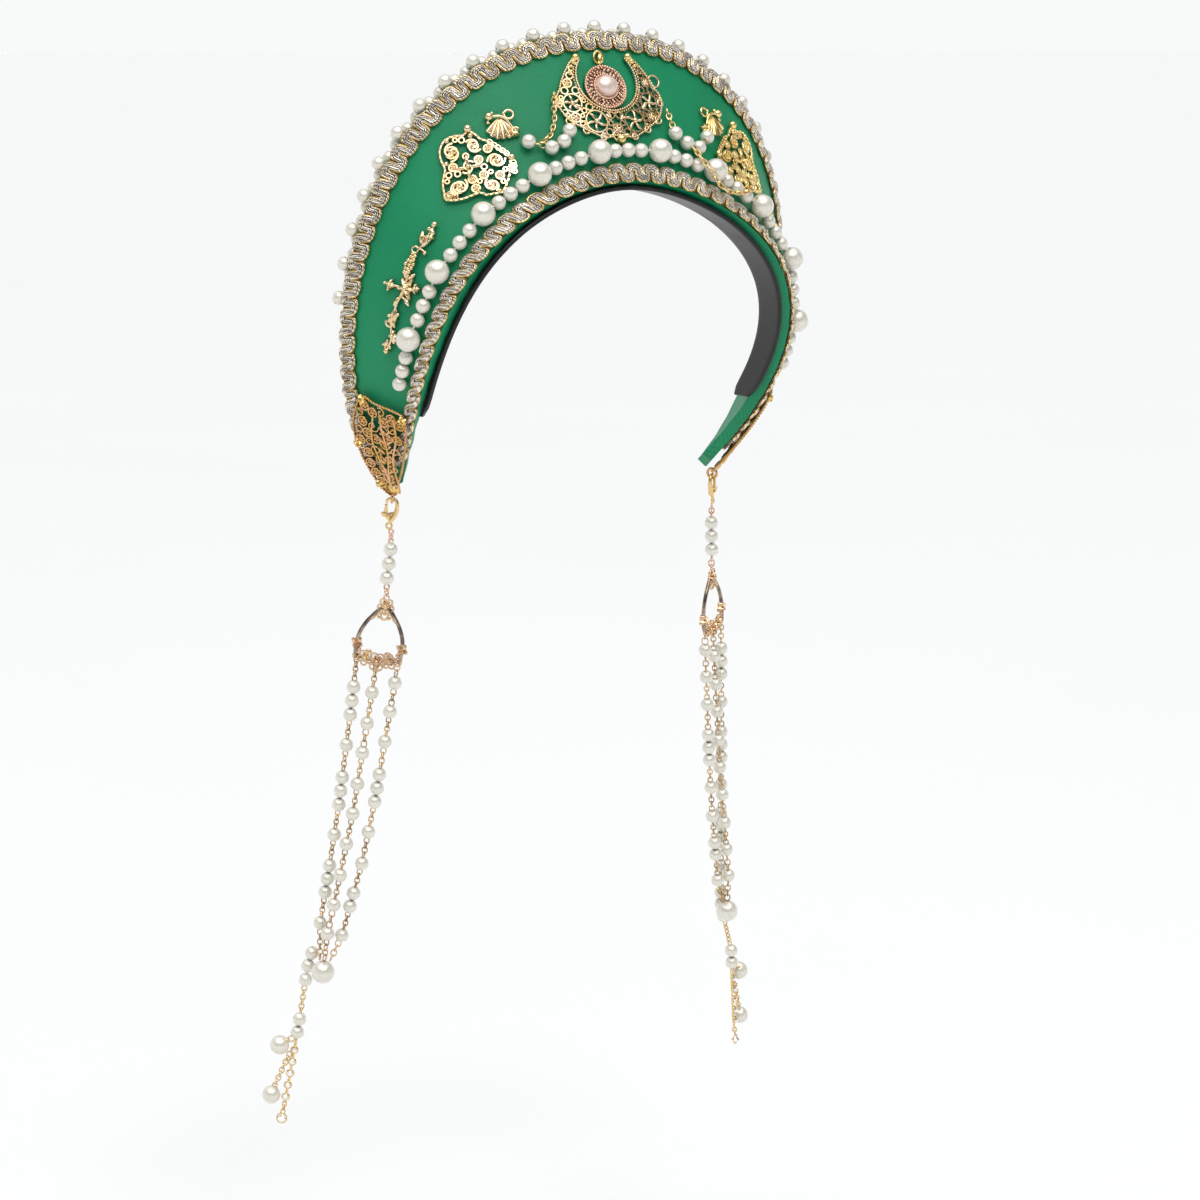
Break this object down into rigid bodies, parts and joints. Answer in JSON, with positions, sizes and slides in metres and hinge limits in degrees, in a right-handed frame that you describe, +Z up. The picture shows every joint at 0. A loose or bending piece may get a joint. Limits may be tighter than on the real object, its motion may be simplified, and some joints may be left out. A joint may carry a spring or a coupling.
{
  "type": "french hood",
  "caption": "Crescent head-dress on a headband: green satin halo edged with braid and pearls, gilt filigree, and a clasped pearl drop at each tip.",
  "frame": {"origin": "underside of the headband at the top of the head, in the middle", "axes": "+Z up, the front of the hood faces -Y, the wearer's right is -X"},
  "size_m": [0.25, 0.1103, 0.4706],
  "materials": {
    "satin": "fine diagonal twill satin with a soft sheen",
    "band": "glossy black",
    "braid": "champagne metallic gimp outlined in gold cord",
    "ivory_pearl": "ivory pearl lacquer",
    "pink_pearl": "pink pearl lacquer",
    "gilt": "light champagne gilt, darkened in the recesses",
    "deep_gilt": "deep yellow gilt",
    "rose_gilt": "rose gilt",
    "crystal": "faceted and clear, in gilt cups"
  },
  "bodies": {
    "hood": {"centre_crescent": "gilt", "clasp_body_left": "gilt", "clasp_body_right": "gilt", "crystal_bar_left": "crystal", "crystal_bar_right": "crystal", "crystal_end_left": "crystal", "crystal_end_right": "crystal", "drop_chain_left": "ivory_pearl", "drop_chain_right": "ivory_pearl", "drop_hanger_left": "rose_gilt", "drop_hanger_right": "rose_gilt", "drop_strand_inner_left": "ivory_pearl", "drop_strand_inner_right": "ivory_pearl", "drop_strand_middle_left": "ivory_pearl", "drop_strand_middle_right": "ivory_pearl", "drop_strand_outer_left": "ivory_pearl", "drop_strand_outer_right": "ivory_pearl", "drop_tail_left": "ivory_pearl", "drop_tail_right": "ivory_pearl", "end_filigree_left": "deep_gilt", "end_filigree_right": "deep_gilt", "flower_spray_left": "gilt", "flower_spray_right": "gilt", "gathering_pearl_left": "ivory_pearl", "gathering_pearl_right": "ivory_pearl", "headband": "band", "hood_halo": "satin", "inner_braid": "braid", "inner_pearl_string": "ivory_pearl", "medallion_bail": "gilt", "medallion_pearl": "pink_pearl", "medallion_setting": "rose_gilt", "outer_braid": "braid", "outer_pearl_edging": "ivory_pearl", "pendant_long_left": "ivory_pearl", "pendant_long_right": "ivory_pearl", "pendant_short_left": "ivory_pearl", "pendant_short_right": "ivory_pearl", "shell_ornament_left": "gilt", "shell_ornament_right": "gilt", "side_filigree_left": "gilt", "side_filigree_right": "gilt", "swag_chain_left": "gilt", "swag_chain_right": "gilt", "swag_pearls_left": "ivory_pearl", "swag_pearls_right": "ivory_pearl"},
    "clasp_lever_right": {"clasp_lever_right": "gilt"},
    "clasp_lever_left": {"clasp_lever_left": "gilt"}
  },
  "joints": [
    {"name": "clasp_lever_right_hinge", "type": "hinge", "parent": "hood", "child": "clasp_lever_right", "pos_m": [-0.08078, 0.05412, -0.13598], "axis": [0.5419, 0.8396, 0.0378], "range_deg": [0, 22], "stiffness_Nm_per_rad": 0.01, "springref_deg": -14.32},
    {"name": "clasp_lever_left_hinge", "type": "hinge", "parent": "hood", "child": "clasp_lever_left", "pos_m": [0.08078, 0.05412, -0.13598], "axis": [0.5419, -0.8396, -0.0378], "range_deg": [0, 22], "stiffness_Nm_per_rad": 0.01, "springref_deg": -14.32}
  ]
}
